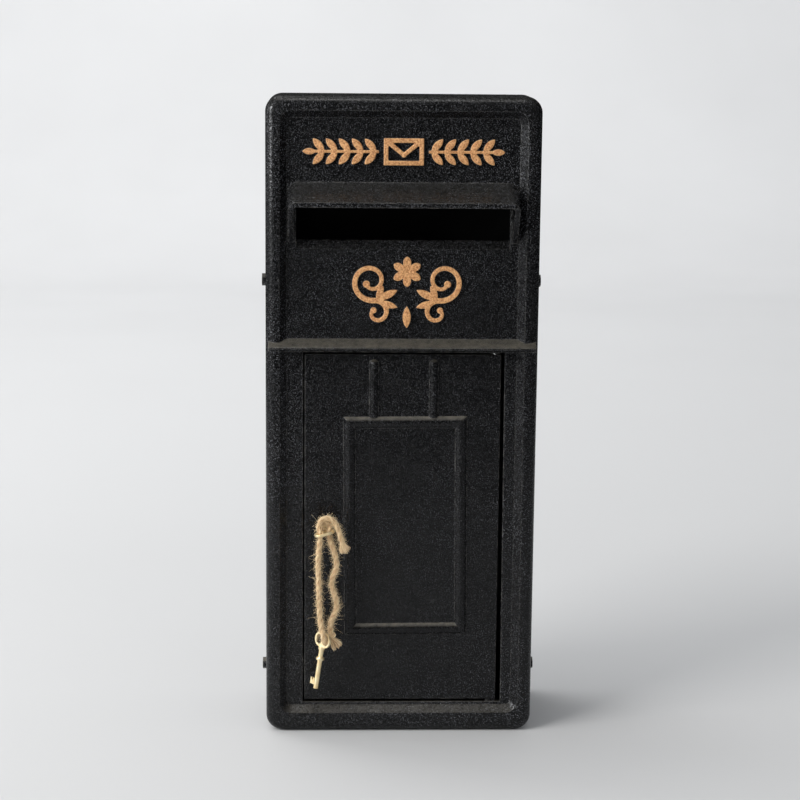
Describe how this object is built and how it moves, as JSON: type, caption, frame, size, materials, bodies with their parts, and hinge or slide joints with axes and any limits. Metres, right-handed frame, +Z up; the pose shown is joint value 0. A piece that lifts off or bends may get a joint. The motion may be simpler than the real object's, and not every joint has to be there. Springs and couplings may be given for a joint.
{
  "type": "letter box",
  "caption": "Cast iron wall letter box with hooded aperture, raised ledge, locking access door, keys on twine and a steel back body",
  "frame": {"origin": "Centre of the overall footprint, on the plane of the casting's foot.", "axes": "+Z up along the longest side; the front with its aperture and door faces -Y; +X is to the right seen from the front."},
  "size_m": [0.26, 0.156, 0.6],
  "materials": {
    "casting_paint": "sand-cast iron under black satin paint, with gold paint on the raised ornament",
    "sheet_paint": "smooth black satin paint on sheet steel",
    "zinc_steel": "zinc plated, dull",
    "brass": "polished brass, lightly worn",
    "jute": "rough twisted jute fibre"
  },
  "bodies": {
    "housing": {"front_casting": "casting_paint", "rear_box": "sheet_paint", "side_bolts": "casting_paint", "side_washers": "zinc_steel", "side_nuts": "zinc_steel", "upper_hinge_pin": "zinc_steel", "lower_hinge_pin": "zinc_steel", "thrust_washer": "brass"},
    "door": {"door": "casting_paint", "lock_plate": "zinc_steel", "lock_case": "zinc_steel", "lock_screws": "zinc_steel", "ward_ring": "zinc_steel", "bolt_stud": "zinc_steel", "twine": "jute", "spare_key": "brass"},
    "key": {"key": "brass"},
    "bolt": {"lock_bolt": "brass", "bolt_spring": "zinc_steel"}
  },
  "joints": [
    {"name": "door_swing", "type": "hinge", "parent": "housing", "child": "door", "pos_m": [0.0871, -0.04, 0.197], "axis": [0, 0, 1], "range_deg": [0, 105]},
    {"name": "key_turn", "type": "hinge", "parent": "door", "child": "key", "pos_m": [-0.071, -0.045, 0.198], "axis": [0, -1, 0], "range_deg": [0, 152], "deforming": ["twine"]},
    {"name": "bolt_slide", "type": "slide", "parent": "door", "child": "bolt", "axis": [-1, 0, 0], "range_m": [0, 0.013]}
  ],
  "couplings": [
    {"joint": "key_turn", "follows": "bolt_slide", "rad_per_m": 204.07}
  ]
}
